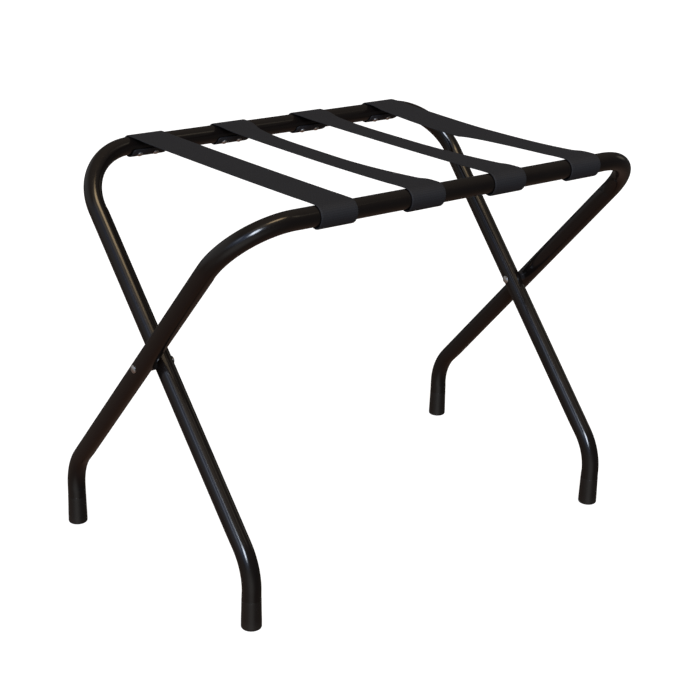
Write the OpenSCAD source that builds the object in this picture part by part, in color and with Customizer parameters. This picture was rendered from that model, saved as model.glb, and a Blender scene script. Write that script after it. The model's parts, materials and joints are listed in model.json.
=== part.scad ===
// Folding luggage rack: two U-shaped tube frames that cross as an X, with webbing straps between
// their top rails. The origin is on the floor under the middle of the rack. X runs along the rails,
// the outer frame's rail is on the -Y side, and +Z is up. All sizes are in millimetres.

/* [Frames] */
// Distance between the centre lines of the outer frame's two legs
outer_span = 600; // [600:2:700]
// Gap between an outer leg and the inner leg beside it at the top of the rack
leg_gap = 1.6; // [1.6:0.1:2]
// How much closer each inner leg stands to the middle at its foot than at its top
toe_in = 8; // [0:1:10]
// Height of both rails' centre lines above the floor
rail_z = 465; // [430:5:475]
// Distance from the middle of the rack to each rail's centre line
rail_y = 183; // [176:1:195]
// Height of the pivot axis above the floor
pivot_z = 262; // [258:2:280]
// Distance from the middle of the rack to the centre lines of the outer frame's feet
outer_foot_y = 166; // [150:1:170]
// Distance from the middle of the rack to the centre lines of the inner frame's feet
inner_foot_y = 170; // [150:1:170]

/* [Tube] */
// Outside diameter of the frame tube
tube_d = 22.2; // [19:0.1:22.4]
// Wall thickness of the frame tube
tube_wall = 1.2; // [1:0.1:1.6]
// Centre-line radius of the two top corners of each frame
corner_r = 74; // [50:1:74]
// Centre-line radius of the bend above each foot
knee_r = 70; // [50:1:95]

/* [Foot tips] */
// Height of a foot tip
tip_h = 36; // [25:1:40]
// Wall thickness of a foot tip
tip_wall = 0.7; // [0.5:0.1:0.7]
// Thickness of a foot tip's closed bottom
tip_floor = 3; // [2.5:0.5:5]
// Radius of the round edge under a foot tip
tip_edge = 2.2; // [1:0.1:2.4]

/* [Pivots] */
// Diameter of a pivot rivet's shank
pivot_d = 6; // [5:0.5:8]
// Diameter of a pivot rivet's domed heads
pivot_head_d = 9.6; // [9:0.1:14]
// Height of a pivot rivet's dome
pivot_dome_h = 1.8; // [1.5:0.1:3.5]
// Diameter of the plastic spacer between two legs
spacer_d = 13; // [12:0.5:18]

/* [Straps] */
// Width of the webbing
strap_w = 48; // [38:0.2:51]
// Thickness of the webbing
strap_t = 1.6; // [1.2:0.1:2]
// Distance between the centre lines of neighbouring straps
strap_pitch = 121; // [100:1:121]
// Distance between the two rivets of a strap end
rivet_pitch = 22; // [16:0.2:30]
// Diameter of a strap rivet's shank
rivet_d = 4; // [3:0.2:4.8]
// Diameter of a strap rivet's domed head
rivet_head_d = 7.4; // [7:0.1:10]
// Height of a strap rivet's dome
rivet_dome_h = 1.8; // [1:0.1:3]

/* [Hidden] */
strap_count = 4;
// Gap left between a shank and its hole, between the webbing and the paint, and between bodies
fit_gap = 0.05;
strap_gap = 0.3;
body_gap = 0.3;
// Half of the opening between the two halves of a strap at mid-span
mid_gap = 0.5;
eps = 0.01;
$fn = 96;

tube_r = tube_d / 2;
bore_r = tube_r - tube_wall;
outer_x = outer_span / 2;
inner_x = outer_x - tube_d - leg_gap;

// The legs' lean from the vertical, seen from the side
lean = atan2(rail_y, rail_z - pivot_z);
// Bending draws the tube slightly thinner, and the straight stretches lap over the bends' ends
bend_draw = 0.05;
bend_lap = 1;

// The webbing's inner and outer radius where it lies round a rail
wrap_in = tube_r + strap_gap;
wrap_out = wrap_in + strap_t;
// Round a rail, 90 is up, 180 is away from the middle of the rack and 360 is back at the middle.
// The strap end stops past its rivets, which point from the rail to the pivot.
wrap_start = 102;
rivet_angle = 270 + lean;
wrap_end = 347;
// The half strap has a short arc of its own over the rail, just clear of the wrap
half_arc_end = 100.5;

strap_names = [for (k = [1 : strap_count]) str("strap_", k)];

// ---- Shared helpers ----

function strap_x(k) = (k - (strap_count + 1) / 2) * strap_pitch;
function half_span(frame) = frame == "outer" ? outer_x : inner_x;
function foot_y(frame) = frame == "outer" ? outer_foot_y : inner_foot_y;
function foot_x(frame) = frame == "outer" ? outer_x : inner_x - toe_in;
function knee_z(frame) = pivot_z - foot_y(frame) / tan(lean);
// The left leg as a vector from its knee's corner to the rail's corner
function leg(frame) = [
    foot_x(frame) - half_span(frame),
    -rail_y - foot_y(frame),
    rail_z - knee_z(frame)
];
function unit(v) = v / norm(v);
function turn(u, v) = acos(u * v / (norm(u) * norm(v)));

// Everything is drawn for the outer frame, whose rail is at -Y. The inner frame is its mirror image.
module as_frame(frame) {
    mirror([0, frame == "outer" ? 0 : 1, 0]) children();
}

// The outer frame's rail centre line becomes the Z axis, with X away from the middle of the rack
// turned so that the angles named above are measured from +Y through +Z.
module at_rail(x) {
    translate([x, -rail_y, rail_z]) rotate([90, 0, 90]) children();
}

// A cylinder between two heights
module rod(r, z0, z1) {
    translate([0, 0, z0]) cylinder(r = r, h = z1 - z0);
}

// A domed cap whose flat base of radius r is at z = 0 and whose top is at z = h
module dome(r, h) {
    ball_r = (r * r + h * h) / (2 * h);
    intersection() {
        translate([0, 0, h - ball_r]) sphere(r = ball_r);
        cylinder(r = r, h = h);
    }
}

// A band of webbing round the Z axis between two angles
module webbing_arc(a0, a1) {
    translate([0, 0, -strap_w / 2]) rotate([0, 0, a0])
        rotate_extrude(angle = a1 - a0) translate([wrap_in, 0]) square([strap_t, strap_w]);
}

// ---- Frame tubes ----

// A tube bend of the given angle that leaves the origin along +Z and turns towards +X
module bend(r, centre_r, angle) {
    translate([centre_r, 0, 0]) rotate([90, 0, 180])
        rotate_extrude(angle = angle) translate([centre_r, 0]) circle(r = r - bend_draw);
}

// Places its children at a point, with their Z along one vector and their X towards another
module aimed(point, ahead, towards) {
    z = unit(ahead);
    x = unit(towards - (towards * z) * z);
    y = cross(z, x);
    multmatrix([
        [x[0], y[0], z[0], point[0]],
        [x[1], y[1], z[1], point[1]],
        [x[2], y[2], z[2], point[2]]
    ]) children();
}

// The left leg of a frame from its foot's end at height z0 up to the end of the corner bend, as a
// solid of radius r. Each straight stretch runs bend_lap into the bend beside it.
module leg_path(r, frame, z0) {
    up = [0, 0, 1];
    along = [1, 0, 0];
    knee = [-foot_x(frame), foot_y(frame), knee_z(frame)];
    knee_turn = turn(up, leg(frame));
    corner_turn = turn(leg(frame), along);
    knee_run = knee_r * tan(knee_turn / 2);
    straight = norm(leg(frame)) - corner_r * tan(corner_turn / 2);
    translate([knee[0], knee[1], 0]) rod(r, z0, knee[2] - knee_run + bend_lap);
    aimed(knee - knee_run * up, up, leg(frame)) bend(r, knee_r, knee_turn);
    aimed(knee, leg(frame), along) {
        rod(r, knee_run - bend_lap, straight + bend_lap);
        translate([0, 0, straight]) bend(r, corner_r, corner_turn);
    }
}

// A whole frame as a solid of radius r: two legs and the rail
module frame_path(r, frame, z0) {
    leg_path(r, frame, z0);
    mirror([1, 0, 0]) leg_path(r, frame, z0);
    corner_turn = turn(leg(frame), [1, 0, 0]);
    rail_end = half_span(frame) - corner_r * tan(corner_turn / 2) + bend_lap;
    translate([0, -rail_y, rail_z]) rotate([0, 90, 0]) rod(r, -rail_end, rail_end);
}

// Holes along the rail for the strap rivets, through the lower wall only
module rail_rivet_holes() {
    for (k = [1 : strap_count]) at_strap_rivets(k) rod(rivet_d / 2 + fit_gap, bore_r / 2, wrap_out);
}

module frame_tube(frame) {
    color([0.05, 0.05, 0.055]) as_frame(frame) difference() {
        frame_path(tube_r, frame, tip_floor);
        frame_path(bore_r, frame, tip_floor - eps);
        translate([0, 0, pivot_z]) rotate([0, 90, 0])
            rod(pivot_d / 2 + fit_gap, -outer_span, outer_span);
        rail_rivet_holes();
    }
}

// ---- Foot tips ----

module foot_tip(frame, side) {
    r = tube_r + tip_wall;
    color([0.1, 0.1, 0.1]) as_frame(frame)
        translate([side * foot_x(frame), foot_y(frame), 0]) difference() {
            rotate_extrude() {
                translate([0, tip_edge]) square([r, tip_h - tip_edge]);
                square([r - tip_edge, tip_h]);
                translate([r - tip_edge, tip_edge]) circle(r = tip_edge);
            }
            rod(tube_r + fit_gap, tip_floor, tip_h + 1);
        }
}

// ---- Pivots ----

// Distance between the centre lines of an outer and an inner leg at the pivot
pivot_step = outer_x - inner_x + toe_in * (rail_z - pivot_z) / (rail_z - knee_z("inner"));

// Places its children on the pivot axis, with Z running inwards from the outer leg's centre line
module at_pivot(side) {
    mirror([side > 0 ? 1 : 0, 0, 0]) translate([-outer_x, 0, pivot_z]) rotate([0, 90, 0]) children();
}

// The outer leg's own cylinder, seen from at_pivot, with the given radius
module outer_leg_at_pivot(r) {
    rotate([0, -90, 0]) rotate([lean, 0, 0]) rod(r, -spacer_d, spacer_d);
}

module pivot_rivet(side) {
    head_r = pivot_head_d / 2;
    far_face = pivot_step + tube_r;
    saddle = tube_r - sqrt(tube_r * tube_r - head_r * head_r);
    color([0.78, 0.78, 0.8]) at_pivot(side) {
        rod(pivot_d / 2, -tube_r - eps, far_face + body_gap + eps);
        difference() {
            union() {
                rod(head_r, -tube_r - 0.4, saddle - tube_r);
                translate([0, 0, -tube_r - 0.4]) mirror([0, 0, 1]) dome(head_r, pivot_dome_h);
            }
            outer_leg_at_pivot(tube_r + fit_gap);
        }
        rod(head_r, far_face + body_gap, far_face + 0.8);
        translate([0, 0, far_face + 0.8]) dome(head_r, pivot_dome_h);
    }
}

module pivot_spacer(side) {
    color([0.12, 0.12, 0.13]) at_pivot(side) difference() {
        rod(spacer_d / 2, 0, pivot_step - tube_r - body_gap);
        outer_leg_at_pivot(tube_r + fit_gap);
        rod(pivot_d / 2 + fit_gap, -1, tube_d);
    }
}

// ---- Straps ----

// Places its children at both rivets of one strap end, with Z pointing from the rail to the pivot
module at_strap_rivets(k) {
    for (s = [-1, 1]) at_rail(strap_x(k) + s * rivet_pitch / 2)
        rotate([0, 0, rivet_angle]) rotate([0, 90, 0]) children();
}

// The strap end that is fixed round a rail
module strap_wrap(k, frame) {
    color([0.14, 0.14, 0.18]) as_frame(frame) difference() {
        at_rail(strap_x(k)) webbing_arc(wrap_start, wrap_end);
        at_strap_rivets(k) rod(rivet_d / 2 + fit_gap, 0, wrap_out + 1);
    }
}

// Half of the strap's free span, from the top of its rail to the middle of the rack
module strap_half(k, frame) {
    color([0.16, 0.16, 0.19]) as_frame(frame) {
        at_rail(strap_x(k)) webbing_arc(90, half_arc_end);
        translate([strap_x(k) - strap_w / 2, -rail_y, rail_z + wrap_in])
            cube([strap_w, rail_y - mid_gap, strap_t]);
    }
}

// Both rivets of a strap end: a domed head on the webbing, a shank and a tail set inside the tube
module strap_rivets(k, frame) {
    head_r = rivet_head_d / 2;
    tail_r = rivet_d * 0.75;
    tail_top = sqrt(bore_r * bore_r - tail_r * tail_r) - fit_gap;
    color([0.8, 0.8, 0.82]) as_frame(frame) at_strap_rivets(k) {
        rod(rivet_d / 2, tail_top - 1, wrap_out + 0.4);
        rod(tail_r, tail_top - 3, tail_top);
        difference() {
            union() {
                rod(head_r, wrap_out - 1, wrap_out + 0.4);
                translate([0, 0, wrap_out + 0.4]) dome(head_r, rivet_dome_h);
            }
            rotate([0, 90, 0]) rod(wrap_out + fit_gap, -head_r - 1, head_r + 1);
        }
    }
}

// ---- Nodes ----

for (frame = ["outer", "inner"]) {
    frame_tube(frame);
    foot_tip(frame, -1);
    foot_tip(frame, 1);
    for (k = [1 : strap_count]) {
        strap_wrap(k, frame);
        strap_half(k, frame);
        strap_rivets(k, frame);
    }
}
pivot_rivet(-1);  // left_pivot_rivet
pivot_rivet(1);  // right_pivot_rivet
pivot_spacer(-1);  // left_pivot_spacer
pivot_spacer(1);  // right_pivot_spacer
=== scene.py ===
import json
import math

import bmesh
import bpy
from mathutils import Matrix, Vector


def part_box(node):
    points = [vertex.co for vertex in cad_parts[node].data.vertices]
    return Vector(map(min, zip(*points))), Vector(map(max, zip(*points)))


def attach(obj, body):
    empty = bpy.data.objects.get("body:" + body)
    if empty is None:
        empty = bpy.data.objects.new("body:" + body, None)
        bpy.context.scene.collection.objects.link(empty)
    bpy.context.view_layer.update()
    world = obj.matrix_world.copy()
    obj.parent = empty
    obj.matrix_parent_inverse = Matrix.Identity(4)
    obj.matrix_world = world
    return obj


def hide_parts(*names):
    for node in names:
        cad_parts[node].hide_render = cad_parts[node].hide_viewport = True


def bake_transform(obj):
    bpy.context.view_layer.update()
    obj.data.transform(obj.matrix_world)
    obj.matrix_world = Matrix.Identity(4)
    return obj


# Folding luggage rack: two bent-tube frames that cross as an X, with webbing straps across the top.
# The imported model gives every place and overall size. The outer frame's rail is on the -Y side.

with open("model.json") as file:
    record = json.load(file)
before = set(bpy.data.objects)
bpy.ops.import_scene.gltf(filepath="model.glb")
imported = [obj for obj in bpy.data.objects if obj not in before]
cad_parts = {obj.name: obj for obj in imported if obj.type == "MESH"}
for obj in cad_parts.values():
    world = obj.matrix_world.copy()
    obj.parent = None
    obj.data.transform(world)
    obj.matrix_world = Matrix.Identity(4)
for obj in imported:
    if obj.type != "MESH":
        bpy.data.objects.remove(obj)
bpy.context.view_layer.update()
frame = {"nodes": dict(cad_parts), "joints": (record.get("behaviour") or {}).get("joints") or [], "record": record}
JOINTS = {j["name"]: j for j in frame["joints"]}

# ---- Shape constants in metres and degrees, repeated from the CAD source ----
CORNER_R = 0.074
KNEE_R = 0.070
TUBE_WALL = 0.0012
TIP_FLOOR = 0.003
STRAP_COUNT = 4
STRAP_MID_R = 0.0122       # radius of the webbing's middle layer round a rail
STRAP_HALF_T = 0.00075
STRAP_END_ANGLE = 347.0    # round a rail: 0 is towards the middle, 90 is up, 180 is outward

RAIL_Y = abs(JOINTS["outer_strap_drop"]["pos_m"][1])
RAIL_Z = JOINTS["outer_strap_drop"]["pos_m"][2]
PIVOT_Z = JOINTS["fold"]["pos_m"][2]
TUBE_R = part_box("outer_frame_tube")[1].z - RAIL_Z
LEAN = math.atan2(RAIL_Y, RAIL_Z - PIVOT_Z)


# ---- Camera ----

# Fitted to the rack's outline in the photograph, then rounded
CAMERA_TURN = (38.75, 20.88, 1.55)    # yaw from +Y towards +X, pitch downwards and roll, in degrees
CAMERA_PLACE = (-1.1106, -1.3812, 0.8937)
CAMERA_LENS = 78.42                   # focal length in mm on a sensor 36 mm wide
SENSOR_WIDTH = 36.0


def make_camera():
    """The photograph's view, from the front left and about 21 degrees above."""
    yaw, pitch, roll = (math.radians(a) for a in CAMERA_TURN)
    forward = Vector((math.sin(yaw) * math.cos(pitch), math.cos(yaw) * math.cos(pitch),
                      -math.sin(pitch)))
    level_right = Vector((math.cos(yaw), -math.sin(yaw), 0))
    level_up = level_right.cross(forward)
    right = level_right * math.cos(roll) + level_up * math.sin(roll)
    up = level_up * math.cos(roll) - level_right * math.sin(roll)
    data = bpy.data.cameras.new("camera")
    data.sensor_width = SENSOR_WIDTH
    data.lens = CAMERA_LENS
    data.clip_start, data.clip_end = 0.05, 200.0
    camera = bpy.data.objects.new("camera", data)
    bpy.context.scene.collection.objects.link(camera)
    basis = Matrix((right, up, -forward)).transposed().to_4x4()
    camera.matrix_world = Matrix.Translation(CAMERA_PLACE) @ basis
    bpy.context.scene.camera = camera


# ---- Node helpers ----

class Nodes:
    """Short calls for building the node tree of one material or world."""

    def __init__(self, owner):
        owner.use_nodes = True
        self.owner, self.tree = owner, owner.node_tree
        self.shader = self.tree.nodes.get("Principled BSDF")

    def add(self, kind, **settings):
        node = self.tree.nodes.new("ShaderNode" + kind)
        for key, value in settings.items():
            setattr(node, key, value)
        return node

    def feed(self, socket, value):
        """Links a node's socket to this one, or sets the value on it."""
        if isinstance(value, bpy.types.NodeSocket):
            self.tree.links.new(value, socket)
        else:
            socket.default_value = value

    def math(self, operation, a, b=0.0):
        node = self.add("Math", operation=operation)
        for socket, value in zip(node.inputs, (a, b)):
            self.feed(socket, value)
        return node.outputs[0]

    def spread(self, value, low, high, out_low, out_high, shape="LINEAR"):
        """Maps a value's range from low..high to out_low..out_high, clamped."""
        node = self.add("MapRange", interpolation_type=shape)
        for socket, v in zip(node.inputs, (value, low, high, out_low, out_high)):
            self.feed(socket, v)
        return node.outputs[0]

    def dot(self, vector, fixed):
        """The product of a vector with a fixed one."""
        node = self.add("VectorMath", operation="DOT_PRODUCT")
        self.feed(node.inputs[0], vector)
        node.inputs[1].default_value = fixed
        return node.outputs["Value"]

    def noise(self, coords, scale, detail=2.0):
        node = self.add("TexNoise")
        self.feed(node.inputs["Vector"], coords)
        node.inputs["Scale"].default_value = scale
        node.inputs["Detail"].default_value = detail
        return node.outputs["Fac"]

    def mix(self, factor, a, b):
        node = self.add("Mix", data_type="RGBA")
        self.feed(node.inputs[0], factor)
        self.feed(node.inputs[6], a)
        self.feed(node.inputs[7], b)
        return node.outputs[2]

    def bump(self, height, distance, strength, under=None):
        """Bump from a height. under is the normal of a bump that lies beneath it."""
        node = self.add("Bump")
        node.inputs["Strength"].default_value = strength
        node.inputs["Distance"].default_value = distance
        self.feed(node.inputs["Height"], height)
        if under is not None:
            self.feed(node.inputs["Normal"], under)
        return node.outputs["Normal"]

    def object_coords(self):
        return self.add("TexCoord").outputs["Object"]

    def uv_coords(self):
        split = self.add("SeparateXYZ")
        self.feed(split.inputs[0], self.add("TexCoord").outputs["UV"])
        return split.outputs[0], split.outputs[1]

    def set(self, **values):
        """Sets or links the shader's own sockets, with _ for the spaces in their names."""
        for key, value in values.items():
            self.feed(self.shader.inputs[key.replace("_", " ")], value)


def rgb(r, g, b):
    return (r, g, b, 1.0)


# ---- Materials ----

def gloss_paint():
    """Black enamel on tube: a little orange peel, faint haze and a few dust specks."""
    n = Nodes(bpy.data.materials.new("frame_paint"))
    at = n.object_coords()
    haze = n.noise(at, 38.0, 3.0)
    specks = n.spread(n.noise(at, 900.0, 0.0), 0.72, 0.80, 0.0, 1.0)
    n.set(Base_Color=n.mix(haze, rgb(0.0060, 0.0046, 0.0042), rgb(0.0084, 0.0064, 0.0058)))
    rough = n.spread(haze, 0.3, 0.7, 0.12, 0.17)
    n.set(Roughness=n.math("ADD", rough, n.math("MULTIPLY", specks, 0.15)))
    peel = n.bump(n.noise(at, 160.0, 1.0), 0.00004, 0.03)
    n.set(Normal=n.bump(specks, 0.00002, 0.05, peel))
    n.shader.inputs["IOR"].default_value = 1.5
    return n.owner


DUST_HEIGHT = 0.012    # how far up the tips the dust reaches


def rubber():
    """Black rubber foot tips: a soft sheen, finely grained, dusty low down."""
    n = Nodes(bpy.data.materials.new("foot_rubber"))
    at = n.object_coords()
    grain = n.noise(at, 1500.0, 2.0)
    cloud = n.noise(at, 60.0, 3.0)
    split = n.add("SeparateXYZ")
    n.feed(split.inputs[0], at)
    height = split.outputs[2]
    dust = n.math("MULTIPLY", n.spread(height, 0.0, DUST_HEIGHT, 0.55, 0.0), cloud)
    body = n.mix(cloud, rgb(0.0085, 0.0068, 0.0060), rgb(0.0125, 0.0105, 0.0095))
    n.set(Base_Color=n.mix(dust, body, rgb(0.035, 0.032, 0.028)))
    n.set(Roughness=n.spread(cloud, 0.3, 0.7, 0.24, 0.32))
    n.set(Normal=n.bump(grain, 0.00003, 0.12))
    return n.owner


def rivet_steel():
    """Bright plated rivets with fine turning marks and a few dull patches."""
    n = Nodes(bpy.data.materials.new("rivet_steel"))
    at = n.object_coords()
    patch = n.noise(at, 420.0, 3.0)
    marks = n.noise(at, 2600.0, 1.0)
    n.set(Base_Color=n.mix(patch, rgb(0.52, 0.51, 0.50), rgb(0.74, 0.74, 0.75)))
    n.set(Metallic=1.0)
    n.set(Roughness=n.spread(patch, 0.3, 0.7, 0.24, 0.42))
    n.set(Normal=n.bump(marks, 0.00003, 0.25))
    return n.owner


def spacer_plastic():
    """Satin black plastic with a moulded grain."""
    n = Nodes(bpy.data.materials.new("spacer_plastic"))
    at = n.object_coords()
    grain = n.noise(at, 1800.0, 1.0)
    cloud = n.noise(at, 120.0, 2.0)
    n.set(Base_Color=n.mix(cloud, rgb(0.010, 0.010, 0.012), rgb(0.016, 0.016, 0.019)))
    n.set(Roughness=n.spread(cloud, 0.3, 0.7, 0.30, 0.42))
    n.set(Normal=n.bump(grain, 0.00003, 0.3))
    return n.owner


WARP_PITCH = 0.0017    # across the webbing
WEFT_PITCH = 0.0024    # along it


def webbing():
    """Black polypropylene webbing: a plain weave read from the UV map, which is in metres."""
    n = Nodes(bpy.data.materials.new("strap_webbing"))
    u, v = n.uv_coords()
    a = n.math("DIVIDE", u, WARP_PITCH)
    b = n.math("DIVIDE", v, WEFT_PITCH)
    across = n.math("ABSOLUTE", n.math("SINE", n.math("MULTIPLY", a, math.pi)))
    along = n.math("ABSOLUTE", n.math("SINE", n.math("MULTIPLY", b, math.pi)))
    parity = n.math("MODULO", n.math("ADD", n.math("FLOOR", a), n.math("FLOOR", b)), 2.0)
    parity = n.math("ABSOLUTE", parity)
    warp = n.math("MULTIPLY", n.math("POWER", across, 0.6), n.math("POWER", along, 0.35))
    weft = n.math("MULTIPLY", n.math("POWER", along, 0.6), n.math("POWER", across, 0.35))
    up = n.math("MULTIPLY", warp, n.math("SUBTRACT", 1.0, parity))
    down = n.math("MULTIPLY", n.math("MULTIPLY", weft, parity), 0.72)
    height = n.math("ADD", up, down)
    at = n.add("TexCoord").outputs["UV"]
    fibre = n.noise(at, 2400.0, 2.0)
    wear = n.noise(at, 26.0, 3.0)
    body = n.mix(wear, rgb(0.0135, 0.0142, 0.0182), rgb(0.0190, 0.0200, 0.0250))
    # Painted shade: the weave's low places between the yarns are mixed towards a darker colour
    painted_gap_shade = n.spread(height, 0.0, 0.8, 1.0, 0.0)
    n.set(Base_Color=n.mix(painted_gap_shade, body, rgb(0.0055, 0.0058, 0.0076)))
    n.set(Roughness=n.spread(fibre, 0.3, 0.7, 0.62, 0.78))
    n.shader.inputs["Sheen Weight"].default_value = 0.008
    n.shader.inputs["Sheen Roughness"].default_value = 0.45
    n.shader.inputs["Sheen Tint"].default_value = rgb(0.75, 0.80, 1.0)
    weave = n.bump(height, 0.00022, 0.9)
    n.set(Normal=n.bump(fibre, 0.00004, 0.3, weave))
    return n.owner


# ---- Mesh helpers ----

def new_object(name, verts, faces, material, uvs=None):
    """A smooth-shaded mesh object. uvs holds one (u, v) for each vertex."""
    mesh = bpy.data.meshes.new(name)
    mesh.from_pydata(verts, [], faces)
    mesh.polygons.foreach_set("use_smooth", [True] * len(mesh.polygons))
    if uvs:
        layer = mesh.uv_layers.new(name="UVMap")
        for loop in mesh.loops:
            layer.data[loop.index].uv = uvs[loop.vertex_index]
    mesh.materials.append(material)
    mesh.validate()
    obj = bpy.data.objects.new(name, mesh)
    bpy.context.scene.collection.objects.link(obj)
    return obj


def smoothstep(t):
    t = min(1.0, max(0.0, t))
    return t * t * (3 - 2 * t)


def outward(obj):
    """Turns every face of a closed mesh outwards."""
    mesh = obj.data
    edit = bmesh.new()
    edit.from_mesh(mesh)
    bmesh.ops.recalc_face_normals(edit, faces=edit.faces)
    edit.to_mesh(mesh)
    edit.free()


# ---- Frame tubes ----

SECTION = 72           # points round the tube
BEND_DENT = 0.0009     # how far the bending die flattens the inside of a bend
DENT_RUN = 0.006       # length over which the flat fades in
DENT_ROWS = 4          # mesh rows in that length
RUN_STEP = 0.02        # spacing of the mesh rows along a straight
BEND_STEP = math.radians(3.0)


def straight_run(a, b, side, dent_at_start=False, dent_at_end=False):
    """Stations between two points, their ends left out."""
    length = (b - a).length
    marks = [i * RUN_STEP for i in range(int(length / RUN_STEP) + 1)]
    fade = [DENT_RUN * k / DENT_ROWS for k in range(1, DENT_ROWS + 1)]
    marks += fade if dent_at_start else []
    marks += [length - f for f in fade] if dent_at_end else []
    stations = []
    for s in sorted(set(round(m, 6) for m in marks if 0 < m < length)):
        near_start = 1 - smoothstep(s / DENT_RUN) if dent_at_start else 0.0
        near_end = 1 - smoothstep((length - s) / DENT_RUN) if dent_at_end else 0.0
        point, tangent = a.lerp(b, s / length), (b - a).normalized()
        stations.append((point, tangent, side, max(near_start, near_end)))
    return stations


def bend_run(start, tangent, side, radius, angle):
    """Stations round a bend that leaves start along tangent and turns towards side."""
    count = max(2, round(angle / BEND_STEP))
    stations = []
    for i in range(count + 1):
        t = angle * i / count
        turned = tangent * math.cos(t) + side * math.sin(t)
        inward = side * math.cos(t) - tangent * math.sin(t)
        stations.append((start + side * radius - inward * radius, turned, inward, 1.0))
    return stations


def square_to(vector, axis):
    """The unit part of a vector at right angles to a unit axis."""
    return (vector - axis * vector.dot(axis)).normalized()


def leg_route(foot, half_span):
    """Stations of the left leg and half the rail for the outer frame, as (point, tangent, unit
    vector towards the bend's centre, dent). foot is the centre of the foot's end."""
    up, along = Vector((0, 0, 1)), Vector((1, 0, 0))
    knee = Vector((foot.x, foot.y, PIVOT_Z - foot.y / math.tan(LEAN)))
    corner = Vector((-half_span, -RAIL_Y, RAIL_Z))
    leg = (corner - knee).normalized()
    knee_turn, corner_turn = up.angle(leg), leg.angle(along)
    knee_start = knee - up * KNEE_R * math.tan(knee_turn / 2)
    corner_start = corner - leg * CORNER_R * math.tan(corner_turn / 2)
    knee_side, corner_side = square_to(leg, up), square_to(along, leg)
    knee_bend = bend_run(knee_start, up, knee_side, KNEE_R, knee_turn)
    corner_bend = bend_run(corner_start, leg, corner_side, CORNER_R, corner_turn)
    rail_start, _, rail_side, _ = corner_bend[-1]
    middle = Vector((0, -RAIL_Y, RAIL_Z))
    return ([(foot.copy(), up, knee_side, 0.0)]
            + straight_run(foot, knee_start, knee_side, dent_at_end=True) + knee_bend
            + straight_run(knee_bend[-1][0], corner_start, corner_side, dent_at_end=True) + corner_bend
            + straight_run(rail_start, middle, rail_side, dent_at_start=True)
            + [(middle, along, rail_side, 0.0)])


def ring(station, radius, mirror_y):
    """The points of one ring of the tube, a little flat towards the bend's centre."""
    point, tangent, side, dent = station
    lateral = tangent.cross(side)
    row = []
    for i in range(SECTION):
        a = math.tau * i / SECTION
        inner = max(0.0, math.cos(a))
        flat = dent * BEND_DENT * inner ** 1.5
        p = point + side * (radius * math.cos(a) - flat) + lateral * radius * math.sin(a)
        row.append((p.x, -p.y if mirror_y else p.y, p.z))
    return row


def frame_tube(name, foot, half_span, mirror_y, material):
    """A frame's whole tube as a closed wall: out along its outside and back along its bore."""
    half = leg_route(foot, half_span)
    other = [(Vector((-p.x, p.y, p.z)), -Vector((-t.x, t.y, t.z)), Vector((-s.x, s.y, s.z)), d)
             for p, t, s, d in reversed(half[:-1])]
    route = half + other
    rings = [ring(s, TUBE_R, mirror_y) for s in route]
    rings += [ring(s, TUBE_R - TUBE_WALL, mirror_y) for s in reversed(route)]
    verts = [point for row in rings for point in row]
    twist = ring_turn(route)

    def vertex(row, i):
        return row * SECTION + (i + twist[row]) % SECTION

    faces = []
    for j in range(len(rings)):
        k = (j + 1) % len(rings)
        faces += [(vertex(j, i), vertex(j, i + 1), vertex(k, i + 1), vertex(k, i))
                  for i in range(SECTION)]
    obj = new_object(name, verts, faces, material)
    outward(obj)
    return obj


def ring_turn(route):
    """How far each ring's numbering turns, so that rings whose bend side differs still join."""
    turns, total = [0], 0.0
    for (_, ta, sa, _), (_, tb, sb, _) in zip(route, route[1:]):
        swing = ta.rotation_difference(tb)
        carried = swing @ sa
        angle = math.atan2(tb.dot(sb.cross(carried)), sb.dot(carried))
        total += angle
        turns.append(round(total / math.tau * SECTION))
    return turns + list(reversed(turns))


def foot_and_span(side):
    """The left foot's centre and the frame's half span at its rail. The legs toe in a little, so
    the frame is widest at its corners."""
    low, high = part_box(f"{side}_left_foot_tip")
    foot = Vector(((low.x + high.x) / 2, abs(low.y + high.y) / 2, TIP_FLOOR))
    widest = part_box(f"{side}_frame_tube")[1].x - TUBE_R
    leg_length = math.hypot(RAIL_Y + foot.y, RAIL_Z - PIVOT_Z + foot.y / math.tan(LEAN))
    toe_in = (widest + foot.x) / (1 - CORNER_R / leg_length)
    return foot, toe_in - foot.x


def make_frames(paint):
    for side in ("outer", "inner"):
        foot, half_span = foot_and_span(side)
        tube = frame_tube(f"{side}_frame_bent_tube", foot, half_span, side == "inner", paint)
        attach(tube, f"{side}_frame")
        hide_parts(f"{side}_frame_tube")


# ---- Foot tips ----

def lathe(name, profile, centre, material):
    """A closed solid turned round a vertical axis from (radius, z) points."""
    verts, faces, count = [], [], len(profile)
    for i in range(SECTION):
        a = math.tau * i / SECTION
        verts += [(centre.x + r * math.cos(a), centre.y + r * math.sin(a), z) for r, z in profile]
    for i in range(SECTION):
        n = (i + 1) % SECTION
        for j in range(count - 1):
            faces.append((i * count + j, n * count + j, n * count + j + 1, i * count + j + 1))
    obj = new_object(name, verts, faces, material)
    edit = bmesh.new()
    edit.from_mesh(obj.data)
    bmesh.ops.remove_doubles(edit, verts=edit.verts, dist=1e-6)
    bmesh.ops.recalc_face_normals(edit, faces=edit.faces)
    edit.to_mesh(obj.data)
    edit.free()
    return obj


def arc_points(cr, cz, radius, a0, a1, count):
    """Points (radius, z) on an arc of a lathe profile, angles in degrees."""
    angles = [math.radians(a0 + (a1 - a0) * i / count) for i in range(count + 1)]
    return [(cr + radius * math.cos(a), cz + radius * math.sin(a)) for a in angles]


TIP_LIP = 0.00012      # thickness of the wall's upper edge
TIP_EDGE = 0.0022      # radius of the lower edge
TIP_GAP = 0.00005      # room between tip and tube
WALL_ROWS = 8


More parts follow.
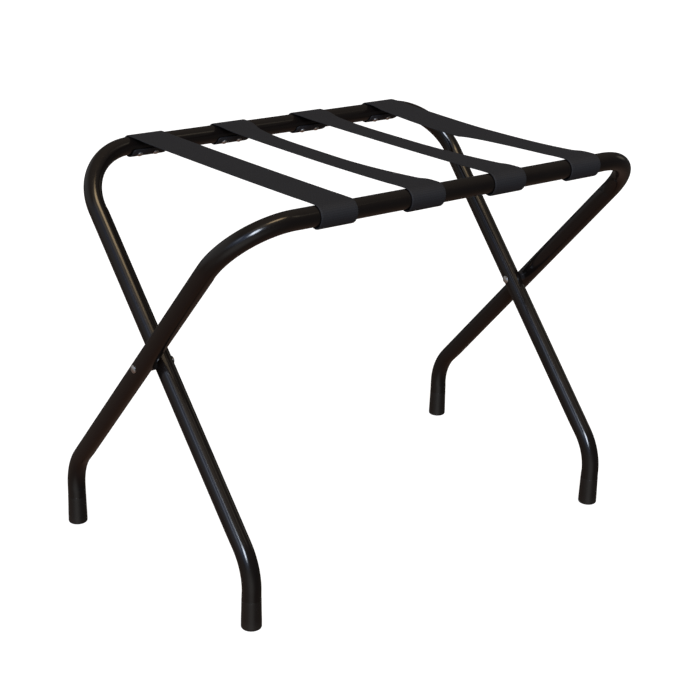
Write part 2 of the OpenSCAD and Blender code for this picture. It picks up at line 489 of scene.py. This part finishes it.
def tip_profile(radius, height):
    """A rubber tip in section: ribbed sole, round lower edge, and a wall that thins to a fine lip."""
    lip, edge, bore = TIP_LIP, TIP_EDGE, TUBE_R + TIP_GAP
    sole = [(0.0, 0.0006), (0.0016, 0.0006), (0.0019, 0.0), (0.0037, 0.0), (0.0040, 0.0006),
            (0.0052, 0.0006), (0.0055, 0.0), (0.0070, 0.0), (0.0073, 0.0005), (0.0080, 0.0005),
            (0.0083, 0.0)]
    side = arc_points(radius - edge, edge, edge, -90, 0, 8)
    flare = radius - bore - lip
    side += [(radius - flare * smoothstep(i / WALL_ROWS),
              edge + (height - lip - edge) * i / WALL_ROWS) for i in range(1, WALL_ROWS)]
    top = arc_points(bore, height - lip, lip, 0, 90, 4)
    inside = [(bore, height - 0.001), (bore, TIP_FLOOR + 0.0005), (bore, TIP_FLOOR), (0.0, TIP_FLOOR)]
    return sole + side + top + inside


def make_tips(material):
    for frame_name in ("outer", "inner"):
        for side in ("left", "right"):
            node = f"{frame_name}_{side}_foot_tip"
            low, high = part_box(node)
            centre = (low + high) / 2
            profile = tip_profile((high.x - low.x) / 2, high.z - low.z)
            tip = lathe(f"{frame_name}_{side}_rubber_tip", profile, centre, material)
            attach(tip, f"{frame_name}_frame")
            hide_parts(node)


# ---- Straps ----

# Droop of each strap's two edges below the straight line between the rails: the
# depth at mid-span in mm, then how full the curve is towards the outer and the inner frame's rail.
DROOPS = {
    1: ((1.2, 1.8, 3.5), (0.7, 1.8, 4.0)),
    2: ((2.6, 1.7, 3.5), (9.3, 1.6, 4.5)),
    3: ((1.3, 1.7, 3.0), (6.7, 1.6, 4.0)),
    4: ((9.0, 0.48, 1.8), (5.8, 2.6, 1.2)),
}
ROW_STEP = 0.0024      # spacing of the mesh rows along the span
WRAP_STEP = 0.0012     # and round the rail
COLUMNS = 24
SELVEDGE = (0.0, 0.00035, 0.0009)    # distances of the rounded edge's columns from the edge
SELVEDGE_FADE = 0.0011 # distance from the edge at which the webbing has its whole thickness
SCALLOP = 0.00016      # how far the weft's turns stand out of the selvedges
END_CORNER = 0.0032    # radius of the strap end's corners
WRAP_SLACK = 0.0013    # how far the webbing stands off the rail's outer lower side,
SLACK_ANGLE = 252.0    # at this angle round the rail,
SLACK_SPREAD = 46.0    # and over this many degrees to each side
DROOP_FADE = 0.034     # length over which the droop starts from the rail
UV_GAP = 0.06          # between the two skins' places in the UV map
# How far each strap sits off the middle of its rivets at either rail, and so at mid-span
STRAP_SHIFT = {"outer": 0.0050, "inner": 0.0024}
MID_SHIFT = sum(STRAP_SHIFT.values()) / 2


def droop(edge, toward_inner, t):
    """Depth below the straight line at t = 0 (mid-span) to 1 (rail), in metres."""
    depth, fullness = edge[0], edge[2] if toward_inner else edge[1]
    soft = t * t / (t + 0.10) * 1.10
    fade = smoothstep((1 - t) * RAIL_Y / DROOP_FADE)
    return 0.001 * depth * (1 - soft ** fullness) * (0.25 * fade + 0.75 * fade * fade)


def strap_rows():
    """(angle or None, distance from the rail towards mid-span, length run) for each mesh row."""
    arc = math.radians(STRAP_END_ANGLE - 90)
    arc_rows = round(arc * STRAP_MID_R / WRAP_STEP)
    rows = [(STRAP_END_ANGLE - math.degrees(arc) * i / arc_rows, 0.0, arc * STRAP_MID_R * i / arc_rows)
            for i in range(arc_rows + 1)]
    flat_rows = round(RAIL_Y / ROW_STEP)
    rows += [(None, RAIL_Y * i / flat_rows, arc * STRAP_MID_R + RAIL_Y * i / flat_rows)
             for i in range(1, flat_rows + 1)]
    return rows


def columns(half_w):
    """Places across the webbing, from -1 to 1, and the half thickness there: round selvedges."""
    inner = [-1 + 2 * i / COLUMNS for i in range(1, COLUMNS)]
    rim = [1 - e / half_w for e in SELVEDGE]
    us = sorted([-x for x in rim] + inner + rim)
    fades = [smoothstep((1 - abs(u)) * half_w / SELVEDGE_FADE) for u in us]
    return us, [STRAP_HALF_T * (0.42 + 0.58 * fade) for fade in fades]


def shift_at(frame_name, run):
    """Sideways shift of a strap at a distance from its rail."""
    at_rail = STRAP_SHIFT[frame_name]
    return at_rail + (MID_SHIFT - at_rail) * run / RAIL_Y


def strap_half(k, frame_name, material):
    """Half of a strap: from its riveted end, round the rail and out to mid-span."""
    low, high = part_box(f"strap_{k}_{frame_name}_wrap")
    mid_x, half_w = (low.x + high.x) / 2, (high.x - low.x) / 2
    left, right = DROOPS[k]
    inner_side = frame_name == "inner"
    us, thick = columns(half_w)
    rows = strap_rows()
    top, bottom, uv_top, uv_bottom = [], [], [], []
    for j, (angle, run, length) in enumerate(rows):
        corner = max(0.0, END_CORNER - length)
        cut = END_CORNER - math.sqrt(max(0.0, END_CORNER ** 2 - corner ** 2))
        for u, h in zip(us, thick):
            edge = SCALLOP * (1 if j % 2 else -1) * smoothstep((abs(u) - 0.9) / 0.1)
            x = mid_x + shift_at(frame_name, run) + u * (half_w - cut - SCALLOP + edge)
            if angle is not None:
                a = math.radians(angle)
                off = WRAP_SLACK * smoothstep(1 - abs(angle - SLACK_ANGLE) / SLACK_SPREAD)
                r = STRAP_MID_R + off
                point = Vector((x, -RAIL_Y + r * math.cos(a), RAIL_Z + r * math.sin(a)))
                normal = Vector((0, math.cos(a), math.sin(a)))
            else:
                t = 1 - run / RAIL_Y
                point, normal = flat_point(x, t, u, left, right, inner_side)
            for side, verts in ((1, top), (-1, bottom)):
                p = point + normal * h * side
                verts.append((p.x, -p.y if inner_side else p.y, p.z))
            width = (u + 1) * half_w
            uv_top.append((width, length))
            uv_bottom.append((width + UV_GAP, length))
    return weave_sheet(f"strap_{k}_{frame_name}_webbing", top, bottom, uv_top, uv_bottom,
                       len(us), len(rows), material)


def flat_point(x, t, u, left, right, inner_side):
    """A point of the free span and its upward normal. t is 1 at the rail and 0 at mid-span."""
    def height(t_at, u_at):
        share = (u_at + 1) / 2
        lie = droop(left, inner_side, t_at) * (1 - share) + droop(right, inner_side, t_at) * share
        return RAIL_Z + STRAP_MID_R - lie

    step = 0.01
    here = height(t, u)
    slope_y = (height(max(t - step, 0), u) - height(min(t + step, 1), u)) / (
        (min(t + step, 1) - max(t - step, 0)) * RAIL_Y)
    point = Vector((x, -t * RAIL_Y, here))
    return point, Vector((0, -slope_y, 1)).normalized()


def weave_sheet(name, top, bottom, uv_top, uv_bottom, width, length, material):
    """Joins the upper and lower skins of the webbing into one closed mesh."""
    shift = len(top)
    faces = []
    for j in range(length - 1):
        for i in range(width - 1):
            a, b = j * width + i, j * width + i + 1
            c, d = b + width, a + width
            faces.append((a, b, c, d))
            faces.append((shift + d, shift + c, shift + b, shift + a))
        for i in (0, width - 1):
            a, d = j * width + i, (j + 1) * width + i
            faces.append((a, d, shift + d, shift + a))
    for j in (0, length - 1):
        for i in range(width - 1):
            a, b = j * width + i, j * width + i + 1
            faces.append((a, b, shift + b, shift + a))
    obj = new_object(name, top + bottom, faces, material, uv_top + uv_bottom)
    outward(obj)
    for edge in obj.data.edges:
        rows = {v % shift // width for v in edge.vertices}
        edge.use_edge_sharp = rows in ({0}, {length - 1})
    return obj


def make_straps(material):
    for frame_name in ("outer", "inner"):
        for k in range(1, STRAP_COUNT + 1):
            strap = strap_half(k, frame_name, material)
            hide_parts(f"strap_{k}_{frame_name}_wrap", f"strap_{k}_{frame_name}_half")
            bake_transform(strap)


# ---- CAD nodes that stay ----

def finish_cad_nodes(materials):
    for row in frame["record"]["subparts"]:
        node = frame["nodes"][row["node"]]
        node.data.materials.clear()
        node.data.materials.append(materials[row["material_slot"]])


# ---- Stage ----

FLOOR_HALF = 60.0
FLOOR_GLOW = 0.93      # with what the world lights of it, the floor comes out white
BACKGROUND = 1.05      # the world's strength where the camera sees it


def make_floor():
    """A pale floor that stays white to the camera and leaves the rack's reflections to the world."""
    verts = [(x * FLOOR_HALF, y * FLOOR_HALF, 0) for x, y in ((-1, -1), (1, -1), (1, 1), (-1, 1))]
    n = Nodes(bpy.data.materials.new("floor"))
    n.shader.inputs["Base Color"].default_value = rgb(0.40, 0.40, 0.40)
    n.shader.inputs["Roughness"].default_value = 0.9
    n.shader.inputs["Specular IOR Level"].default_value = 0.0
    n.shader.inputs["Emission Color"].default_value = rgb(1, 1, 1)
    n.shader.inputs["Emission Strength"].default_value = FLOOR_GLOW
    n.owner.cycles.emission_sampling = "NONE"
    floor = new_object("floor", verts, [(0, 1, 2, 3)], n.owner)
    floor.visible_glossy = floor.visible_diffuse = floor.visible_shadow = False


# The room's own light by the height of the direction looked in: (sine of elevation, colour)
ROOM = [(-1.0, (0.150, 0.080, 0.050)), (-0.87, (0.165, 0.102, 0.078)), (-0.5, (0.075, 0.058, 0.047)),
        (0.0, (0.045, 0.045, 0.047)), (0.4, (0.075, 0.068, 0.060)), (0.8, (0.170, 0.145, 0.120)),
        (1.0, (0.260, 0.210, 0.160))]

# Soft lights at a distance: (azimuth, elevation, half width, half height, softness, colour).
# Angles are in degrees, azimuth from +X towards +Y; the camera looks from azimuth -129. The
# photograph doesn't show its room: they are set where the tubes then show its highlights, and what
# each is said to be is a guess.
GLOWS = [
    (-127, 30, 7, 11, 0.45, (20.0, 22.0, 25.0)),    # the window behind the camera
    (-144, 26, 24, 17, 0.9, (0.38, 0.58, 1.00)),    # its halo on the curtains
    (-159, 28, 4.0, 8, 0.6, (1.50, 1.60, 1.75)),    # the edge of a curtain
    (-128, -18, 25, 22, 0.9, (0.34, 0.33, 0.32)),   # the lit floor below it
    (-138, -12, 55, 32, 0.9, (0.10, 0.10, 0.09)),   # the floor and wall round that
    (-46, 44, 3.5, 7, 0.6, (0.80, 0.70, 0.52)),     # a pale door frame to the right
    (0, 13, 7, 9, 0.7, (0.45, 0.40, 0.32)),         # a picture on the right wall
    (-86, 66, 12, 5.5, 0.5, (8.00, 5.90, 3.40)),    # the ceiling lamp
    (-138, 52, 13, 6, 0.8, (0.55, 0.48, 0.40)),     # its glow above the window
    (-110, 62, 20, 12, 0.9, (0.40, 0.36, 0.30)),    # the ceiling it lights
    (140, 20, 50, 22, 0.8, (0.28, 0.28, 0.28)),     # the far wall
    (150, -20, 45, 25, 0.8, (0.09, 0.06, 0.045)),   # the warm floor in front of it
]


def glow(n, view, azimuth, elevation, wide, tall, soft, colour):
    """A soft elliptical light seen in one direction of the world."""
    a, e = math.radians(azimuth), math.radians(elevation)
    centre = Vector((math.cos(a) * math.cos(e), math.sin(a) * math.cos(e), math.sin(e)))
    side = Vector((-math.sin(a), math.cos(a), 0))
    x = n.dot(view, side / math.tan(math.radians(wide)))
    y = n.dot(view, centre.cross(side) / math.tan(math.radians(tall)))
    ahead = n.math("MAXIMUM", n.dot(view, centre), 0.001)
    across = n.math("SQRT", n.math("ADD", n.math("MULTIPLY", x, x), n.math("MULTIPLY", y, y)))
    share = n.spread(n.math("DIVIDE", across, ahead), 1 - soft, 1 + soft, 1.0, 0.0, "SMOOTHSTEP")
    tint = n.add("VectorMath", operation="SCALE")
    tint.inputs[0].default_value = colour
    n.feed(tint.inputs["Scale"], share)
    return tint.outputs[0]


def make_world():
    """White to the camera. The rack itself sees a dim warm room with a few soft lights."""
    world = bpy.data.worlds.new("studio")
    n = Nodes(world)
    view = n.add("TexCoord").outputs["Generated"]
    split, ramp = n.add("SeparateXYZ"), n.add("ValToRGB")
    n.feed(split.inputs[0], view)
    n.feed(ramp.inputs[0], n.spread(split.outputs[2], -1.0, 1.0, 0.0, 1.0))
    elements = ramp.color_ramp.elements
    for element, (height, colour) in zip(elements, (ROOM[0], ROOM[-1])):
        element.position, element.color = (height + 1) / 2, rgb(*colour)
    for height, colour in ROOM[1:-1]:
        elements.new((height + 1) / 2).color = rgb(*colour)
    total = ramp.outputs[0]
    for settings in GLOWS:
        added = n.add("VectorMath", operation="ADD")
        n.feed(added.inputs[0], total)
        n.feed(added.inputs[1], glow(n, view, *settings))
        total = added.outputs[0]
    room, white = world.node_tree.nodes["Background"], n.add("Background")
    n.feed(room.inputs["Color"], total)
    white.inputs["Color"].default_value = rgb(1, 1, 1)
    white.inputs["Strength"].default_value = BACKGROUND
    mix = n.add("MixShader")
    n.feed(mix.inputs[0], n.add("LightPath").outputs["Is Camera Ray"])
    n.feed(mix.inputs[1], room.outputs[0])
    n.feed(mix.inputs[2], white.outputs[0])
    n.feed(world.node_tree.nodes["World Output"].inputs[0], mix.outputs[0])
    bpy.context.scene.world = world


# ---- The scene ----

bpy.context.scene.view_settings.view_transform = "Standard"
make_camera()
MATERIALS = {
    "frame_paint": gloss_paint(),
    "foot_rubber": rubber(),
    "rivet_steel": rivet_steel(),
    "spacer_plastic": spacer_plastic(),
    "strap_webbing": webbing(),
}
finish_cad_nodes(MATERIALS)
make_frames(MATERIALS["frame_paint"])
make_tips(MATERIALS["foot_rubber"])
make_straps(MATERIALS["strap_webbing"])
make_floor()
make_world()
